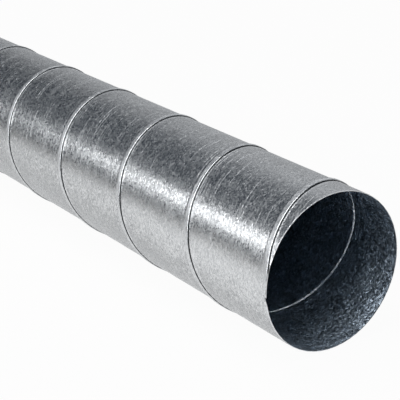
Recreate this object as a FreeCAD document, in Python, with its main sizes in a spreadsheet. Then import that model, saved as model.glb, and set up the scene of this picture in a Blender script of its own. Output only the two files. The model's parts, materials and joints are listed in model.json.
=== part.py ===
"""Spiral duct section: one galvanised strip wound on a helix, its edges folded together in a lock seam.

The strip's turns make a round wall. Where two turns meet, one edge climbs a ramp over the other, the two
edges hook into each other, and the four plies lie pressed flat outside the wall, with a rounded hem towards
the open mouth. Inside, the seam shows as a narrow groove between the ramp and the rounded fold under it.
Both ends are cut square, through wall and seam alike.

The duct lies along X with its mouth towards +X, on the crest of its seam. Lengths are in millimetres.
"""
import FreeCAD, Part
import os
import Sketcher

NODE = "spiral_duct"

# Driving sizes of the duct. The seam's own sizes follow from the sheet's thickness and the fold's width.
SIZES = {
    "bore_dia": 160.0,
    "wall_thick": 0.5,
    "duct_length": 1000.0,
    "strip_width": 137.0,
    "fold_width": 4.5,
    "hook_length": 2.25,
    "ramp_run": 2.5,
    "seam_lead": 28.0,
}

# Values worked out from the driving sizes, as formulas of the same sheet.
BORE_RADIUS = "sizes.bore_dia / 2"
WALL_RADIUS = f"({BORE_RADIUS} + sizes.wall_thick)"
# Beside its own run, each turn gives up a fold and two hooks of strip to the lock.
PITCH = "(sizes.strip_width - sizes.fold_width - 2 * sizes.hook_length)"
# A fold wraps one ply of the other edge, so it is three plies thick and rounded over.
FOLD_PLIES = 3
SEAM_HEIGHT = f"({FOLD_PLIES} * sizes.wall_thick)"
FOLD_RADIUS = f"({SEAM_HEIGHT} / 2)"
CREST_RADIUS = f"({WALL_RADIUS} + {SEAM_HEIGHT})"
# The winding starts one turn outside the mouth and runs one turn past the other end.
WINDING_START = f"(sizes.duct_length - sizes.seam_lead + {PITCH})"
WINDING_LENGTH = f"(sizes.duct_length + 2 * {PITCH})"
# The ridge is rooted in the middle of the wall, and the groove's cut begins in the bore.
ROOT_RADIUS = f"({BORE_RADIUS} + sizes.wall_thick / 2)"
CUT_RADIUS = f"({BORE_RADIUS} - sizes.wall_thick)"
# The ramp's slope, the length of its sloping side, and where its underside leaves the bore.
SLOPE = f"({SEAM_HEIGHT} / sizes.ramp_run)"
SLANT = f"(sqrt({SEAM_HEIGHT} ^ 2 + sizes.ramp_run ^ 2))"
UNDERSIDE_LEAD = f"((sizes.wall_thick * {SLANT} / sizes.ramp_run - sizes.wall_thick) / {SLOPE})"
# The lower fold is tucked up against the underside of the ramp.
TUCK = f"(({FOLD_RADIUS} + {FOLD_RADIUS} * {SLANT} / sizes.ramp_run) / {SLOPE})"
# A fold is rounded in a few flats, which end a little under its middle. It drops straight from there.
HEM_START = "90 deg"
TOUCH_START = f"atan(sizes.ramp_run / {SEAM_HEIGHT})"
ROUND_END = "-45 deg"
HEM_FLATS = 3
TOUCH_FLATS = 2
# The way along the duct that a fold's round faces.
TO_MOUTH = "+"
FROM_MOUTH = "-"


def make_sheet(doc):
    """The spreadsheet of driving sizes, one named cell each."""
    sheet = doc.addObject("Spreadsheet::Sheet", "sizes")
    for row, (name, value) in enumerate(SIZES.items(), start=1):
        sheet.set(f"A{row}", name)
        sheet.set(f"B{row}", str(value))
        sheet.setAlias(f"B{row}", name)
    doc.recompute()
    return sheet


def plane_sketch(body, name, role):
    """An empty sketch on one of the body's own origin planes."""
    sketch = body.newObject("Sketcher::SketchObject", name)
    plane = next(item for item in body.Origin.OriginFeatures if item.Role == role)
    sketch.AttachmentSupport = [(plane, "")]
    sketch.MapMode = "FlatFace"
    return sketch


def bind(sketch, name, constraint, formula):
    """Add a named size to a sketch and tie it to a formula of the sheet."""
    index = sketch.addConstraint(constraint)
    sketch.renameConstraint(index, name)
    sketch.setExpression(f"Constraints.{name}", formula)


def value_of(sheet, formula):
    """The present value of a formula of the sheet."""
    return float(sheet.evalExpression(formula))


def add_circle(sketch, name, radius_formula):
    """A circle about the duct's axis."""
    start = value_of(sketch.Document.sizes, radius_formula)
    circle = Part.Circle(FreeCAD.Vector(0, 0, 0), FreeCAD.Vector(0, 0, 1), start)
    index = sketch.addGeometry(circle, False)
    sketch.addConstraint(Sketcher.Constraint("Coincident", index, 3, -1, 1))
    bind(sketch, name, Sketcher.Constraint("Radius", index, start), radius_formula)


def round_off(middle, out, facing, start, flats):
    """Corners on a fold's round, from its start angle down to its end, as formulas along and outward."""
    corners = []
    for step in range(flats + 1):
        angle = f"({start} + ({ROUND_END} - {start}) * {step} / {flats})"
        along = f"{middle} {facing} {FOLD_RADIUS} * cos({angle})"
        outward = f"{out} + {FOLD_RADIUS} * sin({angle})"
        corners.append((along, outward))
    return corners


def close_section(sketch, corners):
    """A closed outline in the plane through the axis, each corner tied to its place along and outward."""
    sheet = sketch.Document.sizes
    places = [FreeCAD.Vector(value_of(sheet, along), value_of(sheet, out), 0) for along, out in corners]
    count = len(corners)
    for index in range(count):
        sketch.addGeometry(Part.LineSegment(places[index], places[(index + 1) % count]), False)
    for index, (along, out) in enumerate(corners):
        sketch.addConstraint(Sketcher.Constraint("Coincident", index, 1, (index - 1) % count, 2))
        place = places[index]
        bind(sketch, f"along_{index}", Sketcher.Constraint("DistanceX", -1, 1, index, 1, place.x), along)
        bind(sketch, f"outward_{index}", Sketcher.Constraint("DistanceY", -1, 1, index, 1, place.y), out)


def wall_pad(body):
    """The round wall, from one cut end to the other."""
    sketch = plane_sketch(body, "wall_section", "YZ_Plane")
    add_circle(sketch, "bore", BORE_RADIUS)
    add_circle(sketch, "outside", WALL_RADIUS)
    pad = body.newObject("PartDesign::Pad", "wall")
    pad.Profile = sketch
    pad.setExpression("Length", "sizes.duct_length")


def winding(body, kind, name, sketch):
    """A section carried along the strip's right-handed helix, back from the mouth."""
    helix = body.newObject(kind, name)
    helix.Profile = sketch
    helix.ReferenceAxis = (sketch, ["H_Axis"])
    helix.Mode = "pitch-height-angle"
    helix.LeftHanded = False
    helix.Reversed = True
    helix.setExpression("Pitch", PITCH)
    helix.setExpression("Height", WINDING_LENGTH)
    # Each turn keeps its own faces.
    helix.Refine = False


def back(distance):
    """A place along the duct, measured back from the hem at the start of the winding."""
    return f"{WINDING_START} - {distance}"


def seam_ridge(body):
    """The pressed plies outside the wall: ramp, flat crest and rounded hem."""
    sketch = plane_sketch(body, "ridge_section", "XZ_Plane")
    hem_out = f"{WALL_RADIUS} + {FOLD_RADIUS}"
    hem = round_off(back(FOLD_RADIUS), hem_out, TO_MOUTH, HEM_START, HEM_FLATS)
    root_run = f"(sizes.wall_thick / 2 / {SLOPE})"
    corners = hem + [
        (hem[-1][0], ROOT_RADIUS),
        (back(f"(sizes.fold_width + sizes.ramp_run + {root_run})"), ROOT_RADIUS),
        (back("sizes.fold_width"), CREST_RADIUS),
    ]
    close_section(sketch, corners)
    winding(body, "PartDesign::AdditiveHelix", "seam_ridge", sketch)


def seam_groove(body):
    """The gap inside, between the underside of the ramp and the rounded fold that it covers."""
    sketch = plane_sketch(body, "groove_section", "XZ_Plane")
    opening = f"(sizes.fold_width + sizes.ramp_run - {UNDERSIDE_LEAD})"
    cut_run = f"(sizes.wall_thick / {SLOPE})"
    fold_out = f"{BORE_RADIUS} + {FOLD_RADIUS}"
    fold = round_off(back(f"({opening} - {TUCK})"), fold_out, FROM_MOUTH, TOUCH_START, TOUCH_FLATS)
    corners = fold + [
        (fold[-1][0], CUT_RADIUS),
        (back(f"({opening} + {cut_run})"), CUT_RADIUS),
    ]
    close_section(sketch, corners)
    winding(body, "PartDesign::SubtractiveHelix", "seam_groove", sketch)


def square_cut(body, name, place_formula, towards_mouth):
    """Saw off whatever runs past one end of the duct."""
    sketch = plane_sketch(body, f"{name}_section", "YZ_Plane")
    sketch.setExpression("AttachmentOffset.Base.z", place_formula)
    add_circle(sketch, "reach", "sizes.bore_dia")
    cut = body.newObject("PartDesign::Pocket", name)
    cut.Profile = sketch
    cut.Reversed = towards_mouth
    cut.setExpression("Length", f"2 * {PITCH}")
    cut.Refine = False


def make_duct(doc):
    """The whole duct as one body, lying on its seam with its middle over the origin."""
    body = doc.addObject("PartDesign::Body", NODE)
    body.Label = NODE
    wall_pad(body)
    seam_ridge(body)
    seam_groove(body)
    square_cut(body, "mouth_cut", "sizes.duct_length", True)
    square_cut(body, "far_cut", "0", False)
    body.setExpression("Placement.Base.x", "-sizes.duct_length / 2")
    body.setExpression("Placement.Base.z", CREST_RADIUS)
    doc.recompute()
    return body


def check(doc, body):
    """Stop unless every object is sound and the duct is one closed solid."""
    for item in doc.Objects:
        if "Invalid" in item.State or "Error" in item.State:
            raise RuntimeError(f"{item.Name} did not build: {item.State}")
    shape = body.Shape
    if shape.isNull() or not shape.isValid() or len(shape.Solids) != 1:
        raise RuntimeError(f"{body.Label} is not one sound solid")


def main():
    """Build the duct, check it and write it out."""
    doc = FreeCAD.newDocument("spiral_duct_section")
    make_sheet(doc)
    duct = make_duct(doc)
    check(doc, duct)
    os.makedirs("parts", exist_ok=True)
    duct.Shape.exportStep(f"parts/{duct.Label}.step")


main()
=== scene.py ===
"""Looks of a spiral duct section: galvanised strip wound on a helix and locked along its edges.

The duct is one wound strip. Its mesh follows the strip's real section, with both hooked edges of the lock
seam, and it stands for the plain solid of the frame. Lengths are in metres.
"""
import json
import logging
import math
from dataclasses import dataclass
from enum import Enum

import bpy
import numpy as np
from mathutils import Matrix, Vector


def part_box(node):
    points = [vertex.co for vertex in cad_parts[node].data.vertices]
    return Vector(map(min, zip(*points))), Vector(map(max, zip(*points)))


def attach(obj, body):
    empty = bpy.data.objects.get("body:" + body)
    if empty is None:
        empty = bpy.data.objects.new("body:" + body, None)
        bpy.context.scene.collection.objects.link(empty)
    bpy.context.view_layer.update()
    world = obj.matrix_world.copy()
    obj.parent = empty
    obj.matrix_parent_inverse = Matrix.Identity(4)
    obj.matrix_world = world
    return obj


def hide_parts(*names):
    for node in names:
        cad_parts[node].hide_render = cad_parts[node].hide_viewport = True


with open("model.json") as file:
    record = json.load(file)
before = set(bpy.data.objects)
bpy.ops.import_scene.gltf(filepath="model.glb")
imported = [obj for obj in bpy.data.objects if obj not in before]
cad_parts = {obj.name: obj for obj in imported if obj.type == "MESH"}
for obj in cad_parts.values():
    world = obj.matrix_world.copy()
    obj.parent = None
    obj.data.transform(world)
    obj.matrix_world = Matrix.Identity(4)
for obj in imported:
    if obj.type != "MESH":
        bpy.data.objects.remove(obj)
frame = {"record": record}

LOG = logging.getLogger("spiral_duct")
NODE = "spiral_duct"
BODY = "root"
UV_NAME = "strip"
SEAM_SHADE_AND_HIGHLIGHT = "seam_shade_and_highlight"
SEAM_RUB = "seam_rub"
MM = 0.001
PICTURE_PIXELS = 400
SENSOR_MM = 36.0
NEAR_CLIP = 0.01
WHITE = (1.0, 1.0, 1.0, 1.0)
MID_GREY = (0.5, 0.5, 0.5)
# Places of the colour sockets on a mix node.
MIX_FIRST = 6
MIX_SECOND = 7
MIX_RESULT = 2
# The seam's plies from bore to crest, and their middle heights over the bore, in plies, from the inside out.
SEAM_PLIES = 4
WALL_PLY = 0.5
HOOK_PLY = 1.5
LOCK_PLY = 2.5
CREST_PLY = 3.5
# A fold's outer face lies this many plies from the fold's centre.
FOLD_REACH = 1.5


class Edge(Enum):
    """The way a hooked edge's fold faces along the duct, measured back from the mouth."""

    MOUTH = -1
    FAR = 1


@dataclass(frozen=True)
class Section:
    """The strip's section on the axial plane.

    Attributes:
        back: Places of its middle line behind the hem, towards the far end.
        out: Heights of its middle line over the bore.
    """

    back: np.ndarray
    out: np.ndarray

    def normals(self) -> np.ndarray:
        """Unit normals of the middle line, pointing to the outside of the plain wall.

        Returns:
            One (back, out) pair for each place.
        """
        along = np.stack([np.gradient(self.back), np.gradient(self.out)], axis=1)
        along /= np.linalg.norm(along, axis=1)[:, None]
        return np.stack([-along[:, 1], along[:, 0]], axis=1)


class Nodes:
    """A node tree with short helpers, so that a finish reads as a list of its layers."""

    def __init__(self, tree: bpy.types.NodeTree) -> None:
        """Start from an empty tree.

        Args:
            tree: The tree of a material or of the world.
        """
        self.tree = tree
        tree.nodes.clear()

    def node(self, kind: str, **settings: object) -> bpy.types.Node:
        """Add a node.

        Args:
            kind: The node's type.
            **settings: Its own settings, by name.

        Returns:
            The new node.
        """
        made = self.tree.nodes.new(kind)
        for name, value in settings.items():
            setattr(made, name, value)
        return made

    def feed(self, socket: bpy.types.NodeSocket, value: object) -> None:
        """Set a socket to a constant or link it to another node's output.

        Args:
            socket: The input to feed.
            value: A constant, or an output socket.
        """
        if isinstance(value, bpy.types.NodeSocket):
            self.tree.links.new(value, socket)
        else:
            socket.default_value = value

    def math(self, operation: str, first: object, second: object = 0.0) -> bpy.types.NodeSocket:
        """Combine two values.

        Args:
            operation: The sum to do.
            first: A number or a socket.
            second: A number or a socket.

        Returns:
            The result's socket.
        """
        made = self.node("ShaderNodeMath", operation=operation)
        self.feed(made.inputs[0], first)
        self.feed(made.inputs[1], second)
        return made.outputs[0]

    def vector(self, operation: str, first: object, second: object) -> bpy.types.NodeSocket:
        """Combine two vectors.

        Args:
            operation: The sum to do.
            first: A vector or a socket.
            second: A vector or a socket.

        Returns:
            The result's socket.
        """
        made = self.node("ShaderNodeVectorMath", operation=operation)
        self.feed(made.inputs[0], first)
        self.feed(made.inputs[1], second)
        return made.outputs[0]

    def total(self, *layers: tuple[object, float]) -> bpy.types.NodeSocket:
        """Add layers up, each with its weight.

        Args:
            *layers: Sockets with their weights.

        Returns:
            The sum's socket.
        """
        result = 0.0
        for value, weight in layers:
            result = self.math("ADD", result, self.math("MULTIPLY", value, weight))
        return result

    def product(self, *values: object) -> bpy.types.NodeSocket:
        """Multiply values.

        Args:
            *values: Numbers or sockets.

        Returns:
            The product's socket.
        """
        result = values[0]
        for value in values[1:]:
            result = self.math("MULTIPLY", result, value)
        return result

    def step(self, value: object, start: float, end: float) -> bpy.types.NodeSocket:
        """A soft step from 0 to 1 between two values.

        Args:
            value: The socket to test.
            start: Where the result is 0.
            end: Where the result is 1.

        Returns:
            The result's socket.
        """
        made = self.node("ShaderNodeMapRange", interpolation_type="SMOOTHSTEP")
        self.feed(made.inputs["Value"], value)
        self.feed(made.inputs["From Min"], start)
        self.feed(made.inputs["From Max"], end)
        return made.outputs["Result"]

    def off_middle(self, value: object) -> bpy.types.NodeSocket:
        """How far a value lies from the middle of its unit step."""
        return self.math("ABSOLUTE", self.math("SUBTRACT", self.math("FRACT", value), 0.5))

    def mix(self, share: object, first: object, second: object) -> bpy.types.NodeSocket:
        """Blend two colours.

        Args:
            share: The second colour's share.
            first: A colour or a socket.
            second: A colour or a socket.

        Returns:
            The blend's socket.
        """
        made = self.node("ShaderNodeMix", data_type="RGBA")
        self.feed(made.inputs["Factor"], share)
        self.feed(made.inputs[MIX_FIRST], first)
        self.feed(made.inputs[MIX_SECOND], second)
        return made.outputs[MIX_RESULT]

    def grains(self, place: object, size_mm: tuple[float, float]) -> bpy.types.NodeSocket:
        """Coordinates on the strip whose unit is a grain of the given size.

        Args:
            place: The strip's coordinates, in metres.
            size_mm: The grain's size along and across the strip.

        Returns:
            The scaled coordinates.
        """
        return self.vector("DIVIDE", place, (size_mm[0] * MM, size_mm[1] * MM, 1.0))

    def noise(self, place: object, detail: float = 2.0, roughness: float = 0.5) -> bpy.types.NodeSocket:
        """Smooth noise of about one grain a unit.

        Args:
            place: Coordinates in grains.
            detail: How many finer layers it has.
            roughness: How strong they are.

        Returns:
            The noise, from 0 to 1.
        """
        made = self.node("ShaderNodeTexNoise", noise_dimensions="2D")
        self.feed(made.inputs["Vector"], place)
        self.feed(made.inputs["Scale"], 1.0)
        self.feed(made.inputs["Detail"], detail)
        self.feed(made.inputs["Roughness"], roughness)
        return made.outputs[0]

    def chance(self, first: object, second: object) -> bpy.types.NodeSocket:
        """A random value that belongs to a pair of values.

        Args:
            first: A number or a socket.
            second: A number or a socket.

        Returns:
            The value, from 0 to 1.
        """
        pair = self.node("ShaderNodeCombineXYZ")
        self.feed(pair.inputs[0], first)
        self.feed(pair.inputs[1], second)
        made = self.node("ShaderNodeTexWhiteNoise", noise_dimensions="2D")
        self.feed(made.inputs["Vector"], pair.outputs[0])
        return made.outputs["Value"]

    def crystals(self, place: object) -> bpy.types.NodeSocket:
        """Cells of about one grain a unit, each with a random colour of its own.

        Args:
            place: Coordinates in grains.

        Returns:
            The cells' colours.
        """
        made = self.node("ShaderNodeTexVoronoi", voronoi_dimensions="2D", feature="F1")
        self.feed(made.inputs["Vector"], place)
        self.feed(made.inputs["Scale"], 1.0)
        return made.outputs["Color"]


@dataclass(frozen=True)
class GalvanisedSteel:
    """Zinc-coated strip: fine spangle, rolling marks along the strip and a few light scratches.

    Attributes:
        name: The finish's name.
        zinc_dark: The zinc's darkest reflectance.
        zinc_light: Its lightest.
        line: The colour of the line along the seam: painted shade in the crevice outside, a painted
            highlight on the ramp's underside inside.
        painted_line_share: How much that line covers.
        rub_dulling: How much duller the seam's crest is, which the rollers rubbed.
        tone_shares: Shares of the crystals, the grain and the slow waves in the zinc's tone.
        roughness: Its least roughness.
        dulling: How much rougher its dullest places are.
        dull_power: How rare dull crystals are.
        dull_shares: Shares of the crystals, the rolling marks, the slow waves and the scratches in dullness.
        crystal_mm: The crystals' size along and across the strip.
        crystal_tilt: How far crystals lean.
        grain_mm: The size of the grain between the crystals.
        blotch_mm: The size of the slow waves.
        rolling_mm: The size of a rolling mark.
        scratch_mm: How long scratches are at most, and how far apart.
        scratch_drift: How long and how wide a wave of their drift is, in lengths and spacings.
        scratch_ends: How far from the middle of its stretch a scratch is gone, and where it is full.
        scratch_luck: The chance up to which a stretch has no scratch, and the one from which it is full.
        scratch_width_mm: Half the width of a scratch.
        scratch_core: The share of that width which is full.
        scratch_depth_mm: How deep a scratch is.
        wave_depth_mm: How deep the slow waves are.
        grain_depth_mm: How deep the grain is.
    """

    name: str
    zinc_dark: tuple[float, float, float] = (0.48, 0.50, 0.52)
    zinc_light: tuple[float, float, float] = (0.89, 0.90, 0.91)
    # Near black: painted shade along the seam's crevice.
    line: tuple[float, float, float] = (0.03, 0.032, 0.036)
    painted_line_share: float = 0.92
    rub_dulling: float = 0.12
    tone_shares: tuple[float, float, float] = (0.5, 0.3, 0.2)
    roughness: float = 0.20
    dulling: float = 0.28
    dull_power: float = 2.0
    dull_shares: tuple[float, float, float, float] = (0.60, 0.20, 0.20, 0.80)
    crystal_mm: tuple[float, float] = (1.7, 0.9)
    crystal_tilt: float = 0.10
    grain_mm: tuple[float, float] = (3.2, 0.9)
    blotch_mm: tuple[float, float] = (16.0, 9.0)
    rolling_mm: tuple[float, float] = (60.0, 0.9)
    scratch_mm: tuple[float, float] = (60.0, 4.0)
    scratch_drift: tuple[float, float] = (3.0, 6.0)
    scratch_ends: tuple[float, float] = (0.45, 0.25)
    scratch_luck: tuple[float, float] = (0.58, 0.95)
    scratch_width_mm: float = 0.5
    scratch_core: float = 0.3
    scratch_depth_mm: float = 0.05
    wave_depth_mm: float = 0.022
    grain_depth_mm: float = 0.012

    def material(self) -> bpy.types.Material:
        """Make the finish.

        Returns:
            The node material.
        """
        material = bpy.data.materials.new(self.name)
        material.use_nodes = True
        made = Nodes(material.node_tree)
        place = made.node("ShaderNodeUVMap", uv_map=UV_NAME).outputs["UV"]
        crystal = made.crystals(made.grains(place, self.crystal_mm))
        parts = made.node("ShaderNodeSeparateColor")
        made.feed(parts.inputs[0], crystal)
        grain = made.noise(made.grains(place, self.grain_mm), roughness=0.6)
        blotch = made.noise(made.grains(place, self.blotch_mm))
        rolling = made.noise(made.grains(place, self.rolling_mm))
        scratch = self.scratches(made, place)

        tone = made.total(*zip((parts.outputs["Red"], grain, blotch), self.tone_shares))
        colour = made.mix(tone, (*self.zinc_dark, 1.0), (*self.zinc_light, 1.0))
        dullest = made.math("POWER", parts.outputs["Green"], self.dull_power)
        dull = made.total(*zip((dullest, rolling, blotch, scratch), self.dull_shares))
        # Painted shade along the seam's crevice on the outer face, and a painted highlight on the ramp's
        # underside on the inner face.
        mark = made.node("ShaderNodeAttribute", attribute_name=SEAM_SHADE_AND_HIGHLIGHT).outputs["Fac"]
        colour = made.mix(made.math("MULTIPLY", mark, self.painted_line_share), colour, (*self.line, 1.0))
        rub = made.node("ShaderNodeAttribute", attribute_name=SEAM_RUB).outputs["Fac"]
        roughness = made.total((dull, self.dulling), (rub, self.rub_dulling), (1.0, self.roughness))

        shader = made.node("ShaderNodeBsdfPrincipled")
        made.feed(shader.inputs["Metallic"], 1.0)
        made.feed(shader.inputs["Base Color"], colour)
        made.feed(shader.inputs["Roughness"], roughness)
        made.feed(shader.inputs["Normal"], self.relief(made, blotch, grain, scratch, crystal))
        output = made.node("ShaderNodeOutputMaterial")
        made.feed(output.inputs["Surface"], shader.outputs["BSDF"])
        return material

    def scratches(self, made: Nodes, place: object) -> bpy.types.NodeSocket:
        """Sparse light scratches that run along the strip.

        Args:
            made: The material's nodes.
            place: The strip's coordinates.

        Returns:
            Their strength, from 0 to 1.
        """
        length, spacing = self.scratch_mm
        wave = (self.scratch_drift[0] * length, self.scratch_drift[1] * spacing)
        drift = made.noise(made.grains(place, wave), detail=0.0)
        parts = made.node("ShaderNodeSeparateXYZ")
        made.feed(parts.inputs[0], made.grains(place, self.scratch_mm))
        along, across = parts.outputs[0], made.math("ADD", parts.outputs[1], drift)
        lane = made.math("FLOOR", across)
        along = made.math("ADD", along, made.chance(lane, 0.0))
        luck = made.chance(lane, made.math("FLOOR", along))
        half_width = self.scratch_width_mm / spacing
        line = made.step(made.off_middle(across), half_width, self.scratch_core * half_width)
        stretch = made.step(made.off_middle(along), *self.scratch_ends)
        return made.product(line, stretch, made.step(luck, *self.scratch_luck))

    def relief(
        self, made: Nodes, blotch: object, grain: object, scratch: object, crystal: object
    ) -> bpy.types.NodeSocket:
        """The surface's small waves, its grain, its scratches and the lean of each crystal.

        Args:
            made: The material's nodes.
            blotch: Noise of the slow waves.
            grain: Noise of the fine grain.
            scratch: The scratches' strength.
            crystal: A colour of its own for each crystal.

        Returns:
            The normal.
        """
        height = made.total(
            (blotch, self.wave_depth_mm), (grain, self.grain_depth_mm), (scratch, -self.scratch_depth_mm)
        )
        bump = made.node("ShaderNodeBump")
        made.feed(bump.inputs["Distance"], MM)
        made.feed(bump.inputs["Height"], height)
        lean = made.vector("SUBTRACT", crystal, MID_GREY)
        lean = made.vector("MULTIPLY", lean, (self.crystal_tilt,) * 3)
        tilted = made.vector("ADD", bump.outputs["Normal"], lean)
        return made.vector("NORMALIZE", tilted, (0.0, 0.0, 0.0))


@dataclass
class SpiralDuct:
    """The wound strip, with its hooked edges locked together at each turn.

    Attributes:
        lowest: The lowest corner of the plain solid's box.
        highest: The highest corner of that box.
        bore_radius: The radius of the bore.
        strip_width: The flat strip's width.
        lock_share: How much of that width each turn gives up to the lock.
        fold_width: How far the covering edge reaches over the other.
        hook_length: How far each edge hooks back.
        tuck_plies: How far the tucked fold stays from the ramp, in plies.
        sheet_share: How much of a ply the sheet fills, so that the plies of the lock stay apart.
        ramp_run: The length of the ramp that climbs the seam.
        seam_lead: How far the hem lies behind the mouth, on the top of the duct.
        rollover_run: The length over which the cutter turned an end's edge inwards.
        rollover_drop: How far it turned it.
        rollover_steps: How many rings the mesh has on that length.
        bulge_run: Half the width of the small bulge that the pressed hem left in the wall before it.
        bulge_rise: The height of that bulge.
        painted_shade_run: How far the painted shade of the crevice reaches out from the hem.
        painted_shade_plies: How high the painted shade climbs the hem, in plies.
        turn_steps: How many steps the mesh takes along one turn of the seam.
        wall_steps: How many steps it takes round the plain wall.
        crest_steps: How many points it has on the seam's crest, and on the ply under it.
        hook_steps: How many points it has on a hook.
        fold_steps: How many points it has on a fold.
        ramp_steps: How many points it has on the ramp.
        bulge_steps: How many points it has on the bulge.
    """

    lowest: Vector
    highest: Vector
    bore_radius: float
    strip_width: float = 0.137
    lock_share: float = 0.0087
    fold_width: float = 0.0060
    hook_length: float = 0.0034
    tuck_plies: float = 0.7
    sheet_share: float = 0.97
    ramp_run: float = 0.0026
    seam_lead: float = 0.0272
    rollover_run: float = 0.0014
    rollover_drop: float = 0.00018
    rollover_steps: int = 5
    bulge_run: float = 0.0013
    bulge_rise: float = 0.00026
    painted_shade_run: float = 0.0018
    painted_shade_plies: float = 3.2
    turn_steps: int = 60
    wall_steps: int = 50
    crest_steps: int = 5
    hook_steps: int = 3
    fold_steps: int = 9
    ramp_steps: int = 9
    bulge_steps: int = 9

    @property
    def crest_radius(self) -> float:
        """The radius of the seam's crest."""
        return (self.highest.z - self.lowest.z) / 2

    @property
    def axis_height(self) -> float:
        """The height of the duct's axis over the floor."""
        return (self.highest.z + self.lowest.z) / 2

    @property
    def pitch(self) -> float:
        """The length of duct that one turn of strip makes."""
        return self.strip_width - self.lock_share

    @property
    def ply(self) -> float:
        """The strip's thickness, from the seam's height over the bore."""
        return (self.crest_radius - self.bore_radius) / SEAM_PLIES

    def mouth(self) -> Vector:
        """The middle of the open mouth."""
        return Vector((self.highest.x, 0.0, self.axis_height))

    def fold(self, back: float, out: float, facing: Edge) -> tuple[np.ndarray, np.ndarray]:
        """The half round of a hooked edge, from its inner ply to its outer one.

        Args:
            back: The round's centre behind the hem.
            out: The round's centre over the bore.
            facing: The way it faces.

        Returns:
            Its places behind the hem and over the bore.
        """
        angle = np.linspace(-math.pi / 2, math.pi / 2, self.fold_steps)
        return back + facing.value * self.ply * np.cos(angle), out + self.ply * np.sin(angle)

    def section(self) -> Section:
        """Work out the strip's section, from one hooked edge to the other.

        Returns:
            The section over one turn.
        """
        ply = self.ply
        hem_back, hem_out = self.fold(FOLD_REACH * ply, LOCK_PLY * ply, Edge.MOUTH)
        tuck = self.fold_width - self.tuck_plies * ply + self.pitch
        lock_back, lock_out = self.fold(tuck, HOOK_PLY * ply, Edge.FAR)
        hook = np.linspace(self.hook_length, 0.0, self.hook_steps + 1)[:-1]
        crest = np.linspace(FOLD_REACH * ply, self.fold_width, self.crest_steps + 2)[1:-1]
        ramp = np.linspace(0.0, 1.0, self.ramp_steps)
        climb = ramp * ramp * (3 - 2 * ramp)
        foot = self.fold_width + self.ramp_run
        bulge = np.linspace(-1.0, 1.0, self.bulge_steps)
        bulge_start = self.pitch - 2 * self.bulge_run
        swell = self.bulge_rise * (1 - bulge * bulge) ** 2
        wall = np.linspace(foot, bulge_start, self.wall_steps + 2)[1:-1]
        under = np.linspace(self.pitch, tuck, self.crest_steps + 2)[1:-1]
        runs = [
            (FOLD_REACH * ply + hook, HOOK_PLY * ply),
            (hem_back, hem_out),
            (crest, CREST_PLY * ply),
            (self.fold_width + self.ramp_run * ramp, CREST_PLY * ply - (CREST_PLY - WALL_PLY) * ply * climb),
            (wall, WALL_PLY * ply),
            (bulge_start + self.bulge_run * (1 + bulge), WALL_PLY * ply + swell),
            (under, WALL_PLY * ply),
            (lock_back, lock_out),
            (tuck - hook[::-1], LOCK_PLY * ply),
        ]
        back = np.concatenate([place for place, _ in runs])
        out = np.concatenate([np.broadcast_to(height, place.shape) for place, height in runs])
        return Section(back, out)

    def build(self) -> bpy.types.Object:
        """Wind the strip into the duct's mesh.

        Returns:
            The duct.
        """
        section = self.section()
        along = self.rings()
        rings = len(along)
        half = self.sheet_share / 2 * self.ply * section.normals()
        faces_out = self.wind(section.back + half[:, 0], section.out + half[:, 1], along)
        faces_in = self.wind(section.back - half[:, 0], section.out - half[:, 1], along)
        points = np.stack([faces_out, faces_in], axis=1)
        mesh = bpy.data.meshes.new(NODE)
        columns = len(section.back)
        index = np.arange(rings * 2 * columns).reshape(rings, 2, columns)
        quads, smooth, finish = self.quads(index)
        mesh.from_pydata(points.reshape(-1, 3).tolist(), [], quads.tolist())
        mesh.polygons.foreach_set("use_smooth", smooth)
        mesh.polygons.foreach_set("material_index", finish)
        self.lay_strip(mesh, section, along)
        self.mark_seam(mesh, section, rings)
        self.sharpen(mesh, rings, columns)
        mesh.validate()
        duct = bpy.data.objects.new("wound_strip", mesh)
        bpy.context.scene.collection.objects.link(duct)
        return duct

    def rings(self) -> np.ndarray:
        """Places of the mesh's rings along X, closer together on the turned edges of both ends.

        Returns:
            The places, from the far end to the mouth.
        """
        edge = np.linspace(0.0, self.rollover_run, self.rollover_steps)
        start, end = self.lowest.x + edge, self.highest.x - edge[::-1]
        count = round((end[0] - start[-1]) / self.pitch * self.turn_steps) + 1
        return np.concatenate([start[:-1], np.linspace(start[-1], end[0], count), end[1:]])

    def rollover(self, along: np.ndarray) -> np.ndarray:
        """How far the cutter turned the edge inwards at each place along the duct.

        Args:
            along: Places along X.

        Returns:
            The drop from the plain wall.
        """
        to_end = np.minimum(along - self.lowest.x, self.highest.x - along)
        depth = np.clip(1 - to_end / self.rollover_run, 0.0, 1.0)
        return self.rollover_drop * depth ** 2

    def hem_angle(self, along: np.ndarray) -> np.ndarray:
        """The angle, from +Y towards +Z, at which the hem passes each place along the duct.

        Args:
            along: Places along X.

        Returns:
            The angles, in radians.
        """
        top = self.highest.x - self.seam_lead
        return math.pi / 2 + 2 * math.pi * (along - top) / self.pitch

    def wind(self, back: np.ndarray, out: np.ndarray, along: np.ndarray) -> np.ndarray:
        """Lay one face of the section round the duct, at each place along it.

        Args:
            back: The face's places behind the hem.
            out: Its heights over the bore.
            along: Places along X.

        Returns:
            The points, by place along and by place in the section.
        """
        angle = self.hem_angle(along)[:, None] + 2 * math.pi * back[None, :] / self.pitch
        radius = self.bore_radius + out[None, :] - self.rollover(along)[:, None]
        x = np.broadcast_to(along[:, None], angle.shape)
        return np.stack([x, radius * np.cos(angle), self.axis_height + radius * np.sin(angle)], axis=2)

    @staticmethod
    def quads(index: np.ndarray) -> tuple[np.ndarray, np.ndarray, np.ndarray]:
        """Join the rings of points into a closed strip.

        Args:
            index: The points' numbers, by ring, side and column.

        Returns:
            The four corners of each face, which faces are smooth, and the number of each face's finish.
        """
        outer, inner = index[:, 0], index[:, 1]

        def patch(*corners: np.ndarray) -> np.ndarray:
            """Faces from four equal blocks of corners."""
            return np.stack([block.ravel() for block in corners], axis=1)

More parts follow.
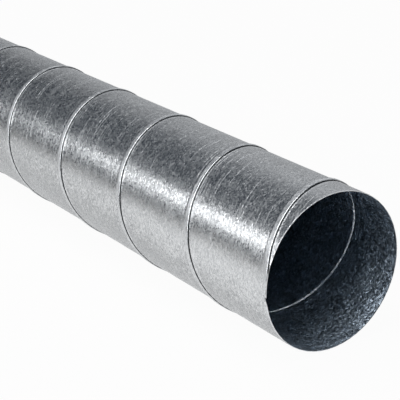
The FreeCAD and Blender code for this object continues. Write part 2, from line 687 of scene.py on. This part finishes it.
        sheets = [
            patch(outer[:-1, :-1], outer[1:, :-1], outer[1:, 1:], outer[:-1, 1:]),
            patch(inner[:-1, :-1], inner[:-1, 1:], inner[1:, 1:], inner[1:, :-1]),
        ]
        rims = [
            patch(outer[:-1, 0], inner[:-1, 0], inner[1:, 0], outer[1:, 0]),
            patch(outer[:-1, -1], outer[1:, -1], inner[1:, -1], inner[:-1, -1]),
            patch(outer[0, :-1], outer[0, 1:], inner[0, 1:], inner[0, :-1]),
            patch(outer[-1, :-1], inner[-1, :-1], inner[-1, 1:], outer[-1, 1:]),
        ]
        faces = np.concatenate(sheets + rims)
        order = np.arange(len(faces))
        in_sheets = order < 2 * len(sheets[0])
        in_inner = in_sheets & (order >= len(sheets[0]))
        return faces, in_sheets, in_inner.astype(int)

    @staticmethod
    def sharpen(mesh: bpy.types.Mesh, rings: int, columns: int) -> None:
        """Mark the edges of the cut ends and of the strip's free edges as sharp.

        Args:
            mesh: The duct's mesh.
            rings: How many rings it has.
            columns: How many points one face of a ring has.
        """
        mesh.update()
        ends = np.zeros(2 * len(mesh.edges), int)
        mesh.edges.foreach_get("vertices", ends)
        ends = ends.reshape(-1, 2)
        ring = ends // (2 * columns)
        column = ends % columns
        sharp = np.zeros(len(ends), bool)
        for place, last in ((ring, rings - 1), (column, columns - 1)):
            sharp |= (place == 0).all(axis=1) | (place == last).all(axis=1)
        mesh.edges.foreach_set("use_edge_sharp", sharp)

    def lay_strip(self, mesh: bpy.types.Mesh, section: Section, along: np.ndarray) -> None:
        """Give each corner its place on the flat strip, along and across, in metres.

        Args:
            mesh: The duct's mesh.
            section: The strip's section.
            along: The rings' places along X.
        """
        radius = self.bore_radius + WALL_PLY * self.ply
        helix = math.atan2(self.pitch, 2 * math.pi * radius)
        angle = self.hem_angle(along)[:, None] + 2 * math.pi * section.back[None, :] / self.pitch
        x = np.broadcast_to(along[:, None], angle.shape)
        flat_along = radius * angle * math.cos(helix) + x * math.sin(helix)
        step = np.hypot(np.diff(section.back), np.diff(section.out))
        across = np.concatenate([[0.0], np.cumsum(step)]) * math.cos(helix)
        flat = np.stack([flat_along, np.broadcast_to(across[None, :], angle.shape)], axis=2)
        both = np.repeat(flat[:, None], 2, axis=1).reshape(-1, 2)
        corner = np.zeros(len(mesh.loops), int)
        mesh.loops.foreach_get("vertex_index", corner)
        layer = mesh.uv_layers.new(name=UV_NAME)
        layer.data.foreach_set("uv", both[corner].astype(np.float32).ravel())

    def mark_seam(self, mesh: bpy.types.Mesh, section: Section, rings: int) -> None:
        """Mark the painted shade of the crevice before the hem and the rubbed crest outside, and the painted
        highlight of the ramp's underside inside.

        Args:
            mesh: The duct's mesh.
            section: The strip's section.
            rings: How many rings the mesh has.
        """
        ply = self.ply
        # Painted shade on the hem's lower side and on the wall just before the hem, where the hem shades it.
        on_hem = section.back < FOLD_REACH * ply
        hem = np.clip(self.painted_shade_plies - section.out / ply, 0.0, 1.0) * on_hem
        wall = np.clip(1 - np.abs(section.back - self.pitch) / self.painted_shade_run, 0.0, 1.0)
        crevice = np.maximum(hem, wall * (section.out < ply))
        # Painted highlight on the ramp's underside, seen from the bore.
        ramp_end = self.fold_width + self.ramp_run
        ramp = ((section.back > self.fold_width) & (section.back < ramp_end)).astype(float)
        on_fold = (section.back > FOLD_REACH * ply) & (section.back < self.fold_width)
        crest = (on_fold & (section.out > LOCK_PLY * ply)).astype(float)
        for name, sides in ((SEAM_SHADE_AND_HIGHLIGHT, [crevice, ramp]), (SEAM_RUB, [crest, np.zeros_like(crest)])):
            layer = mesh.attributes.new(name, "FLOAT", "POINT")
            layer.data.foreach_set("value", np.tile(np.concatenate(sides), rings).astype(np.float32))

    def dress(self, duct: bpy.types.Object, outside: GalvanisedSteel, inside: GalvanisedSteel) -> None:
        """Give the duct its finishes and its place in the frame.

        Args:
            duct: The duct's object.
            outside: The finish of the strip's outer face and of its edges.
            inside: The finish of its inner face.
        """
        for finish in (outside, inside):
            duct.data.materials.append(finish.material())
        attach(duct, BODY)
        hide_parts(NODE)


@dataclass(frozen=True)
class PhotoCamera:
    """The camera at the photograph's viewing angle.

    Attributes:
        azimuth_deg: Its side, from straight across the duct towards the mouth.
        elevation_deg: How steeply it looks down.
        focal_pixels: Its focal length, in pixels of the picture.
        mouth_pixel: Where the picture shows the middle of the mouth.
        mouth_depth: How far the mouth lies in front of it.
    """

    azimuth_deg: float = 55.30
    elevation_deg: float = 20.53
    focal_pixels: float = 1294.3
    mouth_pixel: tuple[float, float] = (333.84, 272.29)
    mouth_depth: float = 1.2194

    def place(self, mouth: Vector) -> bpy.types.Object:
        """Set the camera up.

        Args:
            mouth: The middle of the duct's mouth.

        Returns:
            The camera.
        """
        azimuth = math.radians(self.azimuth_deg)
        elevation = math.radians(self.elevation_deg)
        behind = Vector((
            math.sin(azimuth) * math.cos(elevation),
            -math.cos(azimuth) * math.cos(elevation),
            math.sin(elevation),
        ))
        right = Vector((math.cos(azimuth), math.sin(azimuth), 0.0))
        above = behind.cross(right)
        middle = PICTURE_PIXELS / 2
        sideways = (self.mouth_pixel[0] - middle) / self.focal_pixels
        downward = (self.mouth_pixel[1] - middle) / self.focal_pixels
        sight = (right * sideways - above * downward - behind) * self.mouth_depth
        data = bpy.data.cameras.new("photo_camera")
        data.sensor_width = SENSOR_MM
        data.lens = self.focal_pixels / PICTURE_PIXELS * SENSOR_MM
        data.clip_start = NEAR_CLIP
        camera = bpy.data.objects.new("photo_camera", data)
        turn = Matrix((right, above, behind)).transposed()
        camera.matrix_world = Matrix.Translation(mouth - sight) @ turn.to_4x4()
        bpy.context.scene.collection.objects.link(camera)
        bpy.context.scene.camera = camera
        return camera


@dataclass(frozen=True)
class SoftLamp:
    """A rectangular studio lamp.

    Attributes:
        name: The lamp's name.
        place: Where it hangs.
        aim: Where it points.
        size: Its width and height.
        power: Its power, in watts.
        mirrored: Whether bright metal mirrors it.
    """

    name: str
    place: tuple[float, float, float]
    aim: tuple[float, float, float]
    size: tuple[float, float]
    power: float
    mirrored: bool

    def hang(self) -> bpy.types.Object:
        """Hang the lamp.

        Returns:
            The lamp.
        """
        data = bpy.data.lights.new(self.name, "AREA")
        data.shape = "RECTANGLE"
        data.size, data.size_y = self.size
        data.energy = self.power
        lamp = bpy.data.objects.new(self.name, data)
        lamp.location = self.place
        way = Vector(self.aim) - Vector(self.place)
        lamp.rotation_euler = way.to_track_quat("-Z", "Y").to_euler()
        lamp.visible_camera = False
        lamp.visible_glossy = self.mirrored
        bpy.context.scene.collection.objects.link(lamp)
        return lamp


@dataclass(frozen=True)
class LightPatch:
    """A patch of the room that shines, with soft edges.

    Each edge is a pair: where on a direction's part along X, Y or Z the light is gone, and where it is full.

    Attributes:
        strength: How bright the patch is.
        along: Its edges along X.
        across: Its edges along Y.
        rise: Its edges along Z.
    """

    strength: float
    along: tuple[tuple[float, float], ...] = ()
    across: tuple[tuple[float, float], ...] = ()
    rise: tuple[tuple[float, float], ...] = ()

    def shape(self, made: Nodes, way: bpy.types.Node) -> bpy.types.NodeSocket:
        """Work out the patch's share in each direction.

        Args:
            made: The world's nodes.
            way: The node that splits a direction into its three parts.

        Returns:
            The share, from 0 to 1.
        """
        sides = zip(way.outputs, (self.along, self.across, self.rise))
        return made.product(*(made.step(part, gone, full) for part, edges in sides for gone, full in edges))


# What the duct mirrors: the wall behind it, light for the hem and for the bulge before it, and for the bore.
FAR_WALL = LightPatch(
    strength=0.56,
    along=((0.0, -0.5),),
    across=((0.0, 0.70),),
)
HEM_ARCH = LightPatch(
    strength=6.2,
    along=((-0.22, -0.08), (0.40, 0.26)),
    across=((0.45, 0.20),),
    rise=((0.05, 0.30),),
)
BULGE_ARCH = LightPatch(
    strength=1.0,
    along=((-0.46, -0.38), (-0.22, -0.30)),
    across=((0.45, 0.20),),
    rise=((0.05, 0.30),),
)
BORE_PATCH = LightPatch(
    strength=2.8,
    along=((0.38, 0.46), (0.66, 0.58)),
    across=((0.15, 0.0), (-0.55, -0.40)),
    rise=((0.55, 0.70),),
)


@dataclass
class Studio:
    """A floor and a ground that are white to the camera, and a dim room with patches of light.

    Attributes:
        floor_size: The floor's side.
        floor_colour: The floor's paint.
        floor_white: How much of the white ground the floor shows to the camera and to bright metal.
        lit_reach: How far to the duct's sides metal still shows that white, and where it starts to fade.
        dim_light: How bright the room's dim part is.
        dim_colour: The colour of that part.
        patches: The room's light patches.
    """

    floor_size: float = 30.0
    floor_colour: tuple[float, float, float] = (0.25, 0.245, 0.24)
    floor_white: float = 0.96
    lit_reach: tuple[float, float] = (0.70, 0.35)
    dim_light: float = 0.042
    dim_colour: tuple[float, float, float] = (0.66, 0.90, 1.25)
    patches: tuple[LightPatch, ...] = (FAR_WALL, HEM_ARCH, BULGE_ARCH, BORE_PATCH)

    def floor(self) -> bpy.types.Object:
        """Lay the floor, nearly white to the camera, with the duct's soft shadow on it.

        Returns:
            The floor.
        """
        half = self.floor_size / 2
        corners = [(-half, -half, 0.0), (half, -half, 0.0), (half, half, 0.0), (-half, half, 0.0)]
        mesh = bpy.data.meshes.new("floor")
        mesh.from_pydata(corners, [], [(0, 1, 2, 3)])
        floor = bpy.data.objects.new("floor", mesh)
        bpy.context.scene.collection.objects.link(floor)
        material = bpy.data.materials.new("pale_floor")
        material.use_nodes = True
        made = Nodes(material.node_tree)
        paint = made.node("ShaderNodeBsdfDiffuse")
        made.feed(paint.inputs["Color"], (*self.floor_colour, 1.0))
        white = made.node("ShaderNodeEmission")
        made.feed(white.inputs["Color"], WHITE)
        path = made.node("ShaderNodeLightPath").outputs
        place = made.node("ShaderNodeSeparateXYZ")
        made.feed(place.inputs[0], made.node("ShaderNodeNewGeometry").outputs["Position"])
        near = made.step(made.math("ABSOLUTE", place.outputs["Y"]), *self.lit_reach)
        mirrored = made.math("ADD", path["Is Glossy Ray"], path["Is Transmission Ray"])
        seen = made.math("ADD", path["Is Camera Ray"], made.math("MULTIPLY", mirrored, near))
        blend = made.node("ShaderNodeMixShader")
        made.feed(blend.inputs[0], made.math("MULTIPLY", made.math("MINIMUM", seen, 1.0), self.floor_white))
        made.feed(blend.inputs[1], paint.outputs[0])
        made.feed(blend.inputs[2], white.outputs[0])
        output = made.node("ShaderNodeOutputMaterial")
        made.feed(output.inputs["Surface"], blend.outputs[0])
        mesh.materials.append(material)
        return floor

    def room(self) -> None:
        """Light the room, which is white to the camera alone, and dim with light patches to the duct."""
        world = bpy.data.worlds.new("studio")
        world.use_nodes = True
        bpy.context.scene.world = world
        made = Nodes(world.node_tree)
        way = made.node("ShaderNodeSeparateXYZ")
        made.feed(way.inputs[0], made.node("ShaderNodeTexCoord").outputs["Generated"])
        shining = [(patch.shape(made, way), patch.strength) for patch in self.patches]
        light = made.total((1.0, self.dim_light), *shining)
        dim = made.math("DIVIDE", self.dim_light, light)
        room = made.node("ShaderNodeBackground")
        made.feed(room.inputs["Color"], made.mix(dim, WHITE, (*self.dim_colour, 1.0)))
        made.feed(room.inputs["Strength"], light)
        white = made.node("ShaderNodeBackground")
        made.feed(white.inputs["Color"], WHITE)
        blend = made.node("ShaderNodeMixShader")
        made.feed(blend.inputs[0], made.node("ShaderNodeLightPath").outputs["Is Camera Ray"])
        made.feed(blend.inputs[1], room.outputs[0])
        made.feed(blend.inputs[2], white.outputs[0])
        output = made.node("ShaderNodeOutputWorld")
        made.feed(output.inputs["Surface"], blend.outputs[0])


def bore_radius() -> float:
    """Read the bore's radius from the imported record.

    Returns:
        The radius, in metres.
    """
    bore = next(mount for mount in frame["record"]["mounts"] if mount["name"] == "bore")
    return bore["dims"]["r_mm"] * MM


def main() -> None:
    """Build the duct, the studio and the camera."""
    logging.basicConfig(level=logging.INFO, format="%(name)s: %(message)s")
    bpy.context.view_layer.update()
    bpy.context.scene.view_settings.view_transform = "Standard"
    duct = SpiralDuct(*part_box(NODE), bore_radius=bore_radius())
    strip = duct.build()
    outside = GalvanisedSteel("bright_zinc")
    # The inner face is the same strip as the outer, but its zinc is darker and bluer: painted shade of the
    # bore.
    inside = GalvanisedSteel(
        "dull_zinc_painted_shade",
        zinc_dark=(0.20, 0.25, 0.31),
        zinc_light=(0.68, 0.78, 0.88),
        # Painted highlight: the near-white seam line on the ramp's underside.
        line=(0.95, 0.96, 0.97),
        painted_line_share=1.0,
        roughness=0.29,
        dulling=0.40,
        crystal_mm=(1.7, 1.4),
        crystal_tilt=0.46,
        scratch_depth_mm=0.01,
        wave_depth_mm=0.01,
    )
    duct.dress(strip, outside, inside)
    LOG.info("%s: %d faces, pitch %.1f mm", strip.name, len(strip.data.polygons), duct.pitch / MM)
    studio = Studio()
    LOG.info("%s laid", studio.floor().name)
    studio.room()
    lamps = [
        SoftLamp(
            "floor_lamp",
            place=(0.20, -0.25, 0.80),
            aim=(0.20, -0.25, 0.0),
            size=(0.4, 0.4),
            power=5.5,
            mirrored=False,
        ),
        SoftLamp(
            "soft_box",
            place=(-1.33, -1.60, 0.90),
            aim=(-1.33, 0.0, 0.90),
            size=(1.28, 0.56),
            power=7.0,
            mirrored=True,
        ),
    ]
    for lamp in lamps:
        LOG.info("%s hung", lamp.hang().name)
    LOG.info("%s placed", PhotoCamera().place(duct.mouth()).name)
    bpy.context.view_layer.update()


if __name__ == "__main__":
    main()
